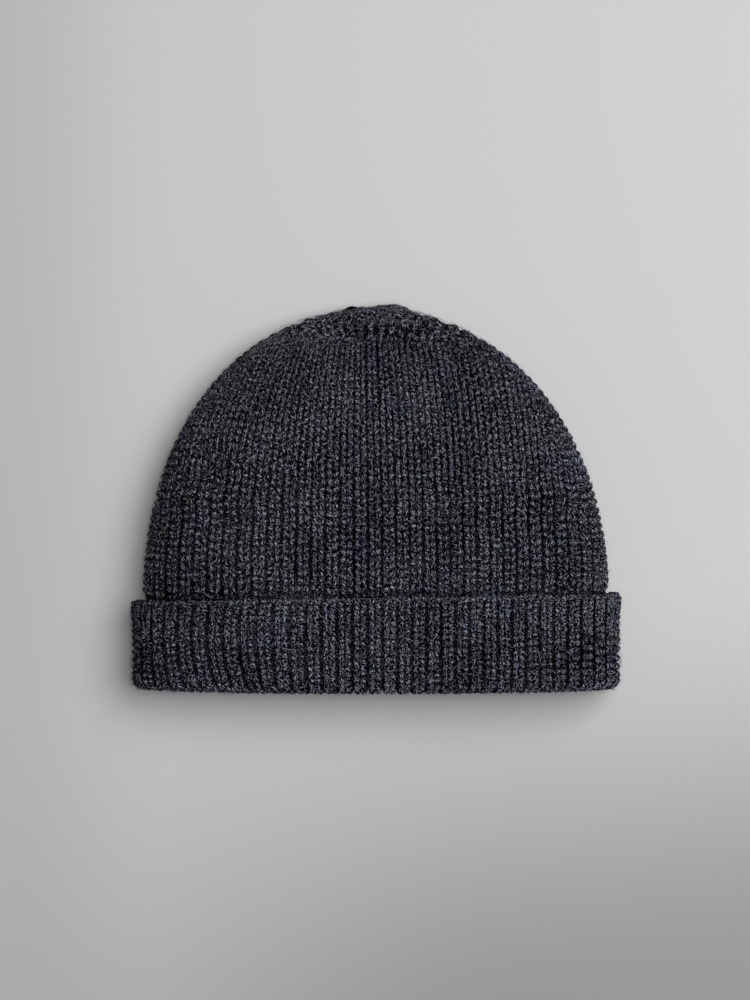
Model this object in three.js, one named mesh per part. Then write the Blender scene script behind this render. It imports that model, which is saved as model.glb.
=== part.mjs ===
// Ribbed knit watch cap with a folded cuff, lying on its back on a flat surface.
// Millimetres. X runs across the cap, Y from the cuff to the gathered tip, Z up from the surface.

import * as THREE from 'three';

// The cap seen from the front
const crownHalfWidth = 117;
const crownHeight = 144.5; // from the cuff's rim to the foot of the gathered tip
const crownDrift = -1.8; // how far the top of the crown sits to one side
const widthPower = 2.05; // the outline's half-width is (1 - up ^ widthPower) ^ widthRoot of the rim's
const widthRoot = 0.475;
const cuffHeight = 48.75;
const cuffRimSlant = 1.75; // the rim stands this much higher at one end and lower at the other
const foldBow = 1.7; // the fold's ends lie this much higher than its middle
const tipHeight = 1.75;

// The cap seen from the side, lying down
const rimLevel = 38.5; // upper skin of the crown where it leaves the cuff
const crownSwell = 3.5; // how much the crown swells above a plain taper
const tipLevel = 9;
const pressedFlat = 0.8; // how far the soft underside is pressed in by the surface
const sagLength = 30; // the crown comes down from the cuff to the surface over this length
const middleShare = 0.45; // the widest level, as a share of the thickness
const upperSideRoundness = 0.65;
const lowerSideRoundness = 1;
const upperTaperPower = 3;
const lowerTaperPower = 8;

// The knit
const crownWall = 4;
const cuffLayer = 5.5; // the cuff's outer skin, measured from the crown's
const layerGap = 0.5; // between the cuff and the crown inside it
const seatGap = 0.4; // between the crown's lower edge and the fold under it
const foldDepth = 4.4; // from the fold's lowest point to the crown's lower edge
const ribCount = 72;
const ribDepth = 1.4;
const ribCrest = [0.24, 0.76]; // the flat top of a rib, as shares of its width
const spreadAtRim = 0.06; // how much wider the ribs are in front on the left and narrower on the right
const spreadAtTop = -0.25;
const straightRib = 34; // the edge of this rib runs straight up the front,
const straightAt = 0.494; // at this share of the way round

// The darts that narrow the crown, one at each side of the cap
const ribsPerDart = ribCount / 2;
const dartAt = 16; // the rib after the first dart
const ribsTaken = 16;
const dartPower = 4.5;
const dartFade = 12; // a rib beside a dart narrows away over this height

// Above the darts the ribs are joined in pairs, and pass over the top to be gathered behind it
const pairsJoinedAt = 131;
const pairFade = 5;
const turnedBackFrom = 130;
const turnedBack = 0.65; // how much wider the ribs are in front than behind at the very top

// Ribs in one part of the cuff bow sideways: distances along the skin
const bowMiddle = -80;
const bowReach = 48;
const bowAtFold = 4;
const bowSlope = -21.4;
const bowCurve = 17.4;

const crownRows = 12;
const steepestRow = THREE.MathUtils.degToRad(80.5);
const innerRows = 5;
const steepestInnerRow = THREE.MathUtils.degToRad(76);
const innerTipClearance = 6;

const foldY = -(cuffHeight + crownHeight + tipHeight) / 2;
const rimY = foldY + cuffHeight;

// The gathered tip, from its foot to its top
const tipRings = [
  { height: crownHeight - 0.9, halfWidth: 16, halfThickness: 4.8, middleX: 1.5 },
  { height: crownHeight + 0.9, halfWidth: 7, halfThickness: 3, middleX: 6.5 },
];
const tipTopX = 6;

// The cuff's cross-section, round from the rim. Out is the distance from the crown's skin, and up is
// from the rim or the fold. At a valley between ribs the skin lies deeper by sink and higher by lift.
const cuffProfile = [
  { from: 'rim', out: 1.7, up: 0, sink: 0.3, lift: -0.6 },
  { from: 'rim', out: 4.6, up: -1.4, sink: 1, lift: -0.3 },
  { from: 'rim', out: cuffLayer, up: -8, sink: ribDepth, lift: 0 },
  { from: 'rim', out: cuffLayer, up: -22, sink: ribDepth, lift: 0 },
  { from: 'fold', out: cuffLayer, up: 9, sink: ribDepth, lift: 0 },
  { from: 'fold', out: 4.5, up: 3, sink: 1.2, lift: 0.6 },
  { from: 'fold', out: 1.4, up: 0, sink: 0.2, lift: 1.3 },
  { from: 'fold', out: -2, up: 0.8, sink: 0, lift: 1 },
];
const cuffInside = [
  { from: 'fold', out: -crownWall, up: foldDepth - seatGap },
  { from: 'fold', out: layerGap, up: foldDepth - seatGap },
  { from: 'rim', out: layerGap, up: -1.6 },
];

// A flattened oval across the cap, parallel to X and Z. Its upper and lower halves have the height
// sqrt(1 - |x / halfWidth| ^ power), and it is cut off flat at the floor.
class OvalSection extends THREE.Curve {
  constructor({ halfWidth, middleX, low, high, floor }) {
    super();
    this.arcLengthDivisions = 720;
    this.halfWidth = halfWidth;
    this.middleX = middleX;
    this.middleZ = low + (high - low) * middleShare;
    this.below = this.middleZ - low;
    this.above = high - this.middleZ;
    this.floor = floor;
  }

  getPoint(share, target = new THREE.Vector2()) {
    const turn = (share - 0.25) * 2 * Math.PI;
    const across = Math.cos(turn);
    const isUpper = Math.sin(turn) > 0;
    const reach = isUpper ? this.above : this.below;
    const roundness = isUpper ? upperSideRoundness : lowerSideRoundness;
    const power = Math.max(2, (2 * roundness * this.halfWidth) / reach);
    const rise = reach * Math.sqrt(1 - Math.abs(across) ** power);
    const z = this.middleZ + (isUpper ? rise : -rise);
    return target.set(this.middleX + this.halfWidth * across, Math.max(z, this.floor));
  }
}

// The crown's oval at a height above the rim, seen as a share of the crown's height, moved out by a
// distance. Below the rim the crown is a straight tube.
function crownSection(share, out) {
  const up = THREE.MathUtils.clamp(share, 0, 1);
  const taper = Math.sqrt(1 - up ** upperTaperPower);
  const high = tipLevel + (rimLevel - tipLevel) * taper + crownSwell * Math.sin(Math.PI * up);
  const tipRise = tipLevel * (1 - Math.sqrt(1 - up ** lowerTaperPower));
  const resting = cuffLayer * (1 - THREE.MathUtils.smoothstep(up * crownHeight, 0, sagLength));
  return new OvalSection({
    halfWidth: (crownHalfWidth + out) * (1 - up ** widthPower) ** widthRoot,
    middleX: crownDrift * up * up,
    low: resting + tipRise - pressedFlat - out,
    high: high + out,
    floor: Math.max(0, -out),
  });
}

// How much of a rib is left at a height, from 1 to 0. The ribs beside a dart narrow away one after
// another, from each side in turn. Above them every second rib goes, where two are joined.
function ribShare(rib, height) {
  const place = (rib - dartAt + 0.5 + ribsPerDart / 2) % ribsPerDart;
  const fromDart = place - ribsPerDart / 2;
  const order = 2 * Math.abs(fromDart) + (fromDart > 0 ? 1 : 0);
  if (order <= ribsTaken) {
    const widthLeft = 1 - order / ribsPerDart;
    const end = crownHeight * Math.sqrt(1 - widthLeft ** dartPower);
    return THREE.MathUtils.smoothstep(end - height, 0, dartFade);
  }
  const isJoined = rib % 2 === 0;
  return isJoined ? THREE.MathUtils.smoothstep(pairsJoinedAt - height, 0, pairFade) : 1;
}

// Where each rib begins and ends at a height, as shares of the way round. Near the top the shares
// are spread out in front and drawn together behind, by a sine.
function ribSpans(height) {
  const spread = THREE.MathUtils.lerp(spreadAtRim, spreadAtTop, (height / crownHeight) ** 3);
  const widths = [];
  for (let rib = 0; rib < ribCount; rib++) {
    const place = straightAt + (rib + 0.5 - straightRib) / ribCount;
    widths.push(ribShare(rib, height) * (1 + spread * Math.sin(4 * Math.PI * place)));
  }
  const widthOf = (parts) => parts.reduce((sum, width) => sum + width, 0);
  const total = widthOf(widths);
  const back = turnedBack * THREE.MathUtils.smoothstep(height, turnedBackFrom, crownHeight);
  const spreadOut = (share) => {
    return share + (back * Math.sin((share - 0.5) * 2 * Math.PI)) / (2 * Math.PI);
  };
  let place = straightAt - widthOf(widths.slice(0, straightRib)) / total;
  return widths.map((width, rib) => {
    const start = spreadOut(place);
    place += width / total;
    return { start, width: spreadOut(place) - start, share: ribShare(rib, height) };
  });
}

// A closed surface made of rings round the cap, each bridged to the next
class Shell {
  constructor() {
    this.places = [];
    this.corners = [];
  }

  point(x, y, z) {
    this.places.push(x, y, z);
    return this.places.length / 3 - 1;
  }

  triangle(a, b, c) {
    if (a !== b && b !== c && c !== a) this.corners.push(a, b, c);
  }

  // A point on an oval, sunk below its skin, with its height given by a function of x
  onOval(oval, share, sink, heightAt) {
    const around = share - Math.floor(share);
    const place = oval.getPointAt(around);
    const along = oval.getTangentAt(around);
    const x = place.x - along.y * sink;
    return this.point(x, heightAt(x), place.y + along.x * sink);
  }

  // Three points for each rib: both edges of its flat crest, and the valley after it. A rib that
  // has narrowed away repeats the valley before it.
  ribbedRing(oval, { height = 0, sink = ribDepth, lift = 0, heightAt, shiftAt = () => 0 }) {
    const spans = ribSpans(height);
    const ring = [];
    const last = spans.at(-1);
    const shifted = (share) => share + shiftAt(share, oval);
    const lifted = (x) => heightAt(x) + lift;
    const closing = this.onOval(oval, shifted(last.start + last.width), sink, lifted);
    let valley = closing;
    spans.forEach(({ start, width, share }, rib) => {
      if (share === 0) {
        ring.push(valley, valley, valley);
        return;
      }
      for (const part of ribCrest) {
        ring.push(this.onOval(oval, shifted(start + width * part), sink * (1 - share), heightAt));
      }
      const isLast = rib === ribCount - 1;
      valley = isLast ? closing : this.onOval(oval, shifted(start + width), sink, lifted);
      ring.push(valley);
    });
    return ring;
  }

  // One point for each rib, with no relief
  plainRing(oval, heightAt) {
    return ribSpans(0).map(({ start, width }) => this.onOval(oval, start + width / 2, 0, heightAt));
  }

  bridge(from, to) {
    const count = from.length;
    for (let i = 0; i < count; i++) {
      const next = (i + 1) % count;
      this.triangle(from[i], from[next], to[i]);
      this.triangle(from[next], to[next], to[i]);
    }
  }

  bridgeRibbedToPlain(ribbed, plain) {
    for (let rib = 0; rib < ribCount; rib++) {
      const [left, right, valley] = ribbed.slice(3 * rib, 3 * rib + 3);
      const nextLeft = ribbed[(3 * rib + 3) % ribbed.length];
      const nextPlain = plain[(rib + 1) % ribCount];
      this.triangle(left, right, plain[rib]);
      this.triangle(right, nextPlain, plain[rib]);
      this.triangle(right, valley, nextPlain);
      this.triangle(valley, nextLeft, nextPlain);
    }
  }

  bridgePlainToRibbed(plain, ribbed) {
    for (let rib = 0; rib < ribCount; rib++) {
      const [left, right, valley] = ribbed.slice(3 * rib, 3 * rib + 3);
      const nextLeft = ribbed[(3 * rib + 3) % ribbed.length];
      const nextPlain = plain[(rib + 1) % ribCount];
      this.triangle(plain[rib], right, left);
      this.triangle(plain[rib], nextPlain, right);
      this.triangle(nextPlain, valley, right);
      this.triangle(nextPlain, nextLeft, valley);
    }
  }

  geometry() {
    const geometry = new THREE.BufferGeometry();
    geometry.setAttribute('position', new THREE.Float32BufferAttribute(this.places, 3));
    geometry.setIndex(this.corners);
    geometry.computeVertexNormals();
    return geometry;
  }
}

// Heights of the fold and the rim over x
function foldHeight(x) {
  return foldY + foldBow * (x / crownHalfWidth) ** 2;
}

function rimHeight(x) {
  return rimY + cuffRimSlant * (x / crownHalfWidth);
}

// The crown: a ribbed dome from the gathered tip down to its lower edge inside the cuff, and back up
// its plain inside
function crownGeometry() {
  const shell = new Shell();
  const top = shell.point(tipTopX, rimY + crownHeight + tipHeight, tipLevel);
  let ring = Array(3 * ribCount).fill(top);

  const addRibbed = (oval, height, heightAt) => {
    const next = shell.ribbedRing(oval, { height, heightAt });
    shell.bridge(ring, next);
    ring = next;
  };
  for (const { height, halfWidth, halfThickness, middleX } of tipRings.toReversed()) {
    const low = tipLevel - halfThickness;
    const high = tipLevel + halfThickness;
    const oval = new OvalSection({ halfWidth, middleX, low, high, floor: 0 });
    addRibbed(oval, crownHeight, () => rimY + height);
  }
  for (let row = crownRows; row >= 0; row--) {
    const share = Math.sin((steepestRow * row) / crownRows);
    const height = share * crownHeight;
    addRibbed(crownSection(share, 0), height, () => rimY + height);
  }
  const tube = crownSection(0, 0);
  addRibbed(tube, 0, () => (rimY + foldY) / 2);
  addRibbed(tube, 0, (x) => foldHeight(x) + foldDepth);

  const liningTube = crownSection(0, -crownWall);
  let inside = shell.plainRing(liningTube, (x) => foldHeight(x) + foldDepth);
  shell.bridgeRibbedToPlain(ring, inside);
  for (let row = 0; row <= innerRows; row++) {
    const share = Math.sin((steepestInnerRow * row) / innerRows);
    const height = share * (crownHeight - crownWall);
    const next = shell.plainRing(crownSection(share, -crownWall), () => rimY + height);
    shell.bridge(inside, next);
    inside = next;
  }
  const innerTop = shell.point(crownDrift, rimY + crownHeight - innerTipClearance, tipLevel);
  shell.bridge(inside, Array(ribCount).fill(innerTop));
  return shell.geometry();
}

// How far ribs of the cuff are carried along the skin: a bow in the ribs about one place
function cuffBow(upFromFold) {
  const rise = THREE.MathUtils.clamp(upFromFold / cuffHeight, 0, 1);
  const amount = bowAtFold + bowSlope * rise + bowCurve * rise * rise;
  return (share, oval) => {
    const place = oval.getPointAt(share - Math.floor(share));
    const near = Math.exp(-(((place.x - bowMiddle) / bowReach) ** 2) * 2);
    const isFront = place.y > oval.middleZ;
    return isFront ? (-amount * near) / oval.getLength() : 0;
  };
}

// The cuff: the knit folded up round the crown's lower end, as one ring of thick cloth
function cuffGeometry() {
  const shell = new Shell();
  const heightOf = ({ from, up }) => (x) => up + (from === 'fold' ? foldHeight(x) : rimHeight(x));

  const ribbed = cuffProfile.map((place) => {
    const upFromFold = place.up + (place.from === 'fold' ? 0 : cuffHeight);
    return shell.ribbedRing(crownSection(0, place.out), {
      sink: place.sink,
      lift: place.lift,
      heightAt: heightOf(place),
      shiftAt: cuffBow(upFromFold),
    });
  });
  const plain = cuffInside.map((place) =>
    shell.plainRing(crownSection(0, place.out), heightOf(place)),
  );
  for (let i = 1; i < ribbed.length; i++) shell.bridge(ribbed[i - 1], ribbed[i]);
  shell.bridgeRibbedToPlain(ribbed.at(-1), plain[0]);
  for (let i = 1; i < plain.length; i++) shell.bridge(plain[i - 1], plain[i]);
  shell.bridgePlainToRibbed(plain.at(-1), ribbed[0]);
  return shell.geometry();
}

function knitPiece(name, geometry, color) {
  const wool = new THREE.MeshStandardMaterial({ color, roughness: 0.95, metalness: 0 });
  const piece = new THREE.Mesh(geometry, wool);
  piece.name = name;
  return piece;
}

const watchCap = new THREE.Group();
watchCap.add(knitPiece('crown', crownGeometry(), 0x2c2c32));
watchCap.add(knitPiece('cuff', cuffGeometry(), 0x2d2d34));

export default watchCap;
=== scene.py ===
import bpy
import numpy as np
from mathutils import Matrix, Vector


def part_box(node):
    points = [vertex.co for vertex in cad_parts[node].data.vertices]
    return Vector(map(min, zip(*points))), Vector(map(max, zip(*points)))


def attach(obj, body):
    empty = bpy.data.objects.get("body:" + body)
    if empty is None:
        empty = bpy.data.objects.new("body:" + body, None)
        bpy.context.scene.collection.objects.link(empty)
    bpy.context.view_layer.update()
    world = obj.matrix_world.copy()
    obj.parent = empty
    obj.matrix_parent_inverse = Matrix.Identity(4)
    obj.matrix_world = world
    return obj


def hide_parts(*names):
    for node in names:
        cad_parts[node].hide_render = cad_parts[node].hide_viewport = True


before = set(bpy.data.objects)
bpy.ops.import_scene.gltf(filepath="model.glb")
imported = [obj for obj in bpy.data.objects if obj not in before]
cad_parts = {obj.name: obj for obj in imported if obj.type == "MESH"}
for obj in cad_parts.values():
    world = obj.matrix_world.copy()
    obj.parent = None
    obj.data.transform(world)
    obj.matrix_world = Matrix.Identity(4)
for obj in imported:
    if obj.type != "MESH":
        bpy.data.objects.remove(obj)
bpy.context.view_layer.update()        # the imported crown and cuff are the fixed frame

mm = 0.001
crownLow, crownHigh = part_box("crown")
cuffLow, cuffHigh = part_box("cuff")
rng = np.random.default_rng(11)

# The cap's form. It follows the solids of the frame.
cap = dict(
    halfWidth=(crownHigh.x - crownLow.x) / 2,
    cuffHeight=48.75 * mm,
    tipHeight=1.75 * mm,
    drift=-1.8 * mm,           # how far the top of the crown sits to one side
    widthPower=2.05,           # the half-width is (1 - up ** widthPower) ** widthRoot of the rim's
    widthRoot=0.475,
    upperTaper=3,              # the front comes down by sqrt(1 - up ** upperTaper)
    lowerTaper=8,              # and the back comes up in the same way
    steepest=80.5,             # degrees; the rows end here, short of the top
    rimSlant=1.75 * mm,        # the rim is this much higher at one end of the cuff
    foldBow=1.7 * mm,          # the fold's ends lie this much higher than its middle
    swell=3.5 * mm,            # the front bulges this much above its taper
    tipLevel=9 * mm,
    pressedFlat=0.8 * mm,      # the soft back is pressed in by the floor
    sagLength=30 * mm,         # above the cuff the crown comes down to the floor over this length
    middleShare=0.45,          # the widest level, as a share of the thickness
    upperRoundness=0.65,
    lowerRoundness=1.0,
    wall=4 * mm,
    cuffLayer=5.5 * mm,        # the cuff's outer skin, from the crown's
    foldDepth=4.4 * mm,        # from the fold to the crown's lower edge
    foldRise=4.2 * mm,         # half the height of the fold's ellipse
    rimRound=2.4 * mm,
    layerGap=0.5 * mm,
    cornerTurn=0.007,          # the cuff's ends are rounded off by this share of its width
    cornerReach=7 * mm,
)
foldY = cuffLow.y
rimY = foldY + cap["cuffHeight"]
crownHeight = crownHigh.y - rimY - cap["tipHeight"]
rimLevel = cuffHigh.z - cap["cuffLayer"]

# The gathered tip, from its foot to its top, in millimetres: places above the dome's height, and the
# size of the ovals there
tip = dict(
    height=(-0.9, 0.9, 1.6, 1.75),
    halfWidth=(16, 7, 3.5, 0.4),
    halfThickness=(4.8, 3, 1.5, 0.2),
    middleX=(1.5, 6.5, 6, 6),
)

ribs = dict(
    count=72,
    depth=2.0 * mm,
    bumpPower=0.8,             # a rib's section is a sine to this power
    spreadAtRim=0.06,          # ribs are wider in front on the left and narrower on the right
    spreadAtTop=-0.25,
    straight=34,               # the edge of this rib runs straight up the front
    straightAt=0.494,          # at this share of the way round
    dartAt=16,                 # the rib after the first of two darts, one at each side
    taken=16,                  # ribs that a dart takes in
    dartPower=4.5,
    dartFade=12 * mm,
    pairsJoinedAt=131 * mm,    # above the darts every second rib goes
    pairFade=5 * mm,
    turnedBackFrom=130 * mm,   # near the top the ribs are gathered behind it
    turnedBack=0.65,
)


def unit(vectors):
    return vectors / np.maximum(np.linalg.norm(vectors, axis=-1, keepdims=True), 1e-12)


# From 0 at low to 1 at high by the cubic 3 s ** 2 - 2 s ** 3, and level past them
def smooth(values, low, high):
    share = np.clip((values - low) / (high - low), 0, 1)
    return share * share * (3 - 2 * share)


# How much of each rib is left at some heights. Those beside a dart are gone one after another, at
# crownHeight * sqrt(1 - widthLeft ** dartPower), and above them every second one goes.
def ribShares(heights):
    perDart = ribs["count"] // 2
    rib = np.arange(ribs["count"])
    fromDart = (rib - ribs["dartAt"] + 0.5 + perDart / 2) % perDart - perDart / 2
    order = 2 * np.abs(fromDart) + (fromDart > 0)
    widthLeft = np.clip(1 - order / perDart, 0, 1)
    dartEnd = crownHeight * np.sqrt(1 - widthLeft ** ribs["dartPower"])
    isTaken = order <= ribs["taken"]
    joined = np.where(rib % 2 == 0, ribs["pairsJoinedAt"], np.inf)
    end = np.where(isTaken, dartEnd, joined)
    fade = np.where(isTaken, ribs["dartFade"], ribs["pairFade"])
    return smooth((end - heights[:, None]) / fade, 0, 1)


# Where the ribs meet at each height, as shares of the way round: running sums of their widths from
# the straight one, spread out in front and drawn together behind by a sine near the top
def ribBounds(heights):
    place = ribs["straightAt"] + (np.arange(ribs["count"]) + 0.5 - ribs["straight"]) / ribs["count"]
    up = np.clip(heights / crownHeight, 0, 1)[:, None]
    spread = ribs["spreadAtRim"] + (ribs["spreadAtTop"] - ribs["spreadAtRim"]) * up ** 3
    widths = ribShares(heights) * (1 + spread * np.sin(4 * np.pi * place))
    sums = np.hstack([np.zeros((len(heights), 1)), np.cumsum(widths, axis=1)])
    shares = ribs["straightAt"] + (sums - sums[:, ribs["straight"], None]) / sums[:, -1:]
    back = ribs["turnedBack"] * smooth(heights, ribs["turnedBackFrom"], crownHeight)[:, None]
    return shares + back * np.sin((shares - 0.5) * 2 * np.pi) / (2 * np.pi)


# Flattened ovals, one a row: x = middleX + halfWidth * cos t, and z leaves the middle level by
# reach * sqrt(1 - |cos t| ** power), cut off at the floor. The power is twice the roundness times
# halfWidth / reach. Points are spaced evenly round each, from many more.
def ovalRows(halfWidth, middleX, low, high, floor, columns=1024, dense=4096):
    turn = np.linspace(-0.25, 0.75, dense + 1) * 2 * np.pi
    across, upper = np.cos(turn)[None], np.sin(turn)[None] > 0
    middleZ = low + (high - low) * cap["middleShare"]
    reach = np.where(upper, (high - middleZ)[:, None], (middleZ - low)[:, None])
    roundness = np.where(upper, cap["upperRoundness"], cap["lowerRoundness"])
    power = np.maximum(2, 2 * roundness * halfWidth[:, None] / reach)
    rise = reach * np.sqrt(np.clip(1 - np.abs(across) ** power, 0, None))
    x = middleX[:, None] + halfWidth[:, None] * across
    z = np.maximum(middleZ[:, None] + np.where(upper, rise, -rise), floor[:, None])
    steps = np.hypot(np.diff(x), np.diff(z))
    lengths = np.hstack([np.zeros((len(x), 1)), np.cumsum(steps, axis=1)])
    even = np.arange(columns) / columns
    evenX = np.array([np.interp(even * length[-1], length, row) for length, row in zip(lengths, x)])
    evenZ = np.array([np.interp(even * length[-1], length, row) for length, row in zip(lengths, z)])
    return evenX, evenZ, lengths[:, -1]


# The crown's ovals at shares of its height above the rim, moved out by distances. The half-width and
# the two levels taper as cap says, and the front bulges by a half sine.
def crownOvals(share, out):
    up = np.clip(share, 0, 1)
    taper = np.sqrt(1 - up ** cap["upperTaper"])
    high = cap["tipLevel"] + (rimLevel - cap["tipLevel"]) * taper + cap["swell"] * np.sin(np.pi * up)
    tipRise = cap["tipLevel"] * (1 - np.sqrt(1 - up ** cap["lowerTaper"]))
    resting = cap["cuffLayer"] * (1 - smooth(up * crownHeight, 0, cap["sagLength"]))
    return dict(
        halfWidth=(cap["halfWidth"] + out) * (1 - up ** cap["widthPower"]) ** cap["widthRoot"],
        middleX=cap["drift"] * up * up,
        low=resting + tipRise - cap["pressedFlat"] - out,
        high=high + out,
        floor=np.maximum(0, -out),
    )


# A surface of rows round the cap. A place on it is a share of the way round and a distance along
# the rows, and it is read between the four nearest points.
class Skin:
    def __init__(self, points, lengths, heights):
        self.rows, self.columns = points.shape[:2]
        self.perimeter = lengths
        self.bounds = ribBounds(heights)
        middle = points[:, self.columns // 2]
        steps = np.linalg.norm(np.diff(middle, axis=0), axis=1)
        self.along = np.concatenate([[0], np.cumsum(steps)])
        around = np.roll(points, -1, axis=1) - np.roll(points, 1, axis=1)
        self.points = points
        self.normals = unit(np.cross(np.gradient(points, self.along, axis=0), around))

    def row(self, along):
        return np.interp(along, self.along, np.arange(self.rows))

    # The row below a place, and how far the place is towards the next one
    def rowBelow(self, along):
        row = np.clip(self.row(along), 0, self.rows - 1.001)
        below = row.astype(int)
        return below, row - below

    def read(self, table, share, along):
        below, up = self.rowBelow(along)
        column = (share % 1) * self.columns
        left, aside = column.astype(int) % self.columns, (column - np.floor(column))[..., None]
        right = (left + 1) % self.columns
        lower = table[below, left] * (1 - aside) + table[below, right] * aside
        upper = table[below + 1, left] * (1 - aside) + table[below + 1, right] * aside
        return lower * (1 - up[..., None]) + upper * up[..., None]

    def at(self, share, along, out):
        return self.read(self.points, share, along) + out[..., None] * self.normalAt(share, along)

    def normalAt(self, share, along):
        return unit(self.read(self.normals, share, along))

    # The share of the way round of a place across a rib, and the rib's width there
    def onRib(self, rib, across, along):
        below, up = self.rowBelow(along)
        start = self.bounds[below, rib] * (1 - up) + self.bounds[below + 1, rib] * up
        end = self.bounds[below, rib + 1] * (1 - up) + self.bounds[below + 1, rib + 1] * up
        return start + (end - start) * across, (end - start) * self.perimeterAt(along)

    def perimeterAt(self, along):
        return np.interp(along, self.along, self.perimeter)


# The crown's skin: a tube inside the cuff, the dome's ovals at the sines of evenly spaced angles, and
# ovals between those of the tip
def crownSkin():
    tube = np.linspace(-(cap["cuffHeight"] - cap["foldDepth"]), 0, 13)[:-1]
    angle = np.radians(np.linspace(0, cap["steepest"], 96))
    share = np.concatenate([0 * tube, np.sin(angle)])
    rows = crownOvals(share, 0 * share)
    height = np.concatenate([tube, crownHeight * np.sin(angle)])
    sizes = {name: np.array(values) * mm for name, values in tip.items()}
    knots = {
        "height": np.append(height[-1], crownHeight + sizes["height"]),
        "halfWidth": np.append(rows["halfWidth"][-1], sizes["halfWidth"]),
        "middleX": np.append(rows["middleX"][-1], sizes["middleX"]),
        "low": np.append(rows["low"][-1], cap["tipLevel"] - sizes["halfThickness"]),
        "high": np.append(rows["high"][-1], cap["tipLevel"] + sizes["halfThickness"]),
    }
    rowsPerKnot, knotCount = 4, len(tip["height"])
    step = np.arange(1, rowsPerKnot * knotCount + 1) / rowsPerKnot
    tipRows = {name: np.interp(step, np.arange(knotCount + 1), values) for name, values in knots.items()}
    height = np.concatenate([height, tipRows.pop("height")])
    rows = {name: np.concatenate([rows[name], tipRows.get(name, 0 * step)]) for name in rows}
    x, z, lengths = ovalRows(**rows)
    y = np.broadcast_to((rimY + height)[:, None], x.shape)
    return Skin(np.stack([x, y, z], axis=-1), lengths, height)


# The cuff's skin, up from the inner edge of its fold, round the fold and up to its rim. The fold is
# half an ellipse, and the rim a quarter of a circle. Its ends are turned in by the sixth power of x,
# the fold bows by the square of x, and the rim slants along x.
def cuffSkin():
    layer, wall, rimRound = cap["cuffLayer"], cap["wall"], cap["rimRound"]
    foldReach, foldRise = (layer + wall) / 2, cap["foldRise"]
    foldTurn = np.linspace(-np.pi, 0, 25)
    wallUp = np.linspace(foldRise, cap["cuffHeight"] - rimRound, 32)[1:]
    rimTurn = np.linspace(0, np.pi / 2, 9)[1:]
    out = np.concatenate([
        (layer - wall) / 2 + foldReach * np.cos(foldTurn),
        np.full(len(wallUp), layer),
        layer - rimRound * (1 - np.cos(rimTurn)),
    ])
    up = np.concatenate([
        foldRise * (1 + np.sin(foldTurn)),
        wallUp,
        cap["cuffHeight"] - rimRound * (1 - np.sin(rimTurn)),
    ])
    towardsRim = np.concatenate([
        0 * foldTurn,
        smooth(wallUp, 0, cap["cuffHeight"]),
        np.ones(len(rimTurn)),
    ])[:, None]
    x, z, lengths = ovalRows(**crownOvals(0 * out, out))
    nearRim = smooth(up, cap["cuffHeight"] - cap["cornerReach"], cap["cuffHeight"])
    nearEdge = np.maximum(nearRim, 1 - smooth(up, 0, cap["cornerReach"]))
    x = x * (1 - cap["cornerTurn"] * nearEdge[:, None] ** 2 * (x / cap["halfWidth"]) ** 6)
    bow = cap["foldBow"] * (x / cap["halfWidth"]) ** 2
    slant = cap["rimSlant"] * (x / cap["halfWidth"])
    y = foldY + up[:, None] + bow * (1 - towardsRim) + slant * towardsRim
    return Skin(np.stack([x, y, z], axis=-1), lengths, up * 0)


# Puts whole arrays into a mesh: quads first, then triangles
def makeMesh(name, points, quads, triangles=None, uv=None, values=None):
    triangles = np.zeros((0, 3), int) if triangles is None else triangles
    mesh = bpy.data.meshes.new(name)
    mesh.vertices.add(len(points))
    mesh.vertices.foreach_set("co", points.astype(np.float32).ravel())
    corners = np.concatenate([quads.ravel(), triangles.ravel()]).astype(np.int32)
    starts = np.concatenate([
        np.arange(len(quads)) * 4,
        len(quads) * 4 + np.arange(len(triangles)) * 3,
    ]).astype(np.int32)
    mesh.loops.add(len(corners))
    mesh.loops.foreach_set("vertex_index", corners)
    mesh.polygons.add(len(starts))
    mesh.polygons.foreach_set("loop_start", starts)
    mesh.polygons.foreach_set("use_smooth", np.ones(len(starts), bool))
    if uv is not None:
        layer = mesh.uv_layers.new(name="yarn")
        layer.data.foreach_set("uv", uv.astype(np.float32).ravel())
    for key, array in (values or {}).items():
        mesh.attributes.new(key, "FLOAT", "POINT").data.foreach_set("value", array.astype(np.float32))
    mesh.update(calc_edges=True)
    mesh.validate()
    piece = bpy.data.objects.new(name, mesh)
    bpy.context.scene.collection.objects.link(piece)
    return piece


# The angles of the points of a tube's ring. They start at its lowest side.
def ringAngles(sides):
    return (np.arange(sides) / sides - 0.25) * 2 * np.pi


# The faces of one tube: quads between its rings, and fans about a pole at each end
def tubeFaces(rings, sides):
    ring, side = np.meshgrid(np.arange(rings - 1), np.arange(sides), indexing="ij")
    beside = (side + 1) % sides
    quads = np.stack([
        ring * sides + side, (ring + 1) * sides + side,
        (ring + 1) * sides + beside, ring * sides + beside,
    ], axis=-1).reshape(-1, 4)
    start, after = side[0], beside[0]
    lastRing = (rings - 1) * sides
    firstPole, lastPole = rings * sides, rings * sides + 1
    triangles = np.concatenate([
        np.stack([np.full(sides, firstPole), start, after], axis=1),
        np.stack([np.full(sides, lastPole), lastRing + after, lastRing + start], axis=1),
    ])
    return quads, triangles


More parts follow.
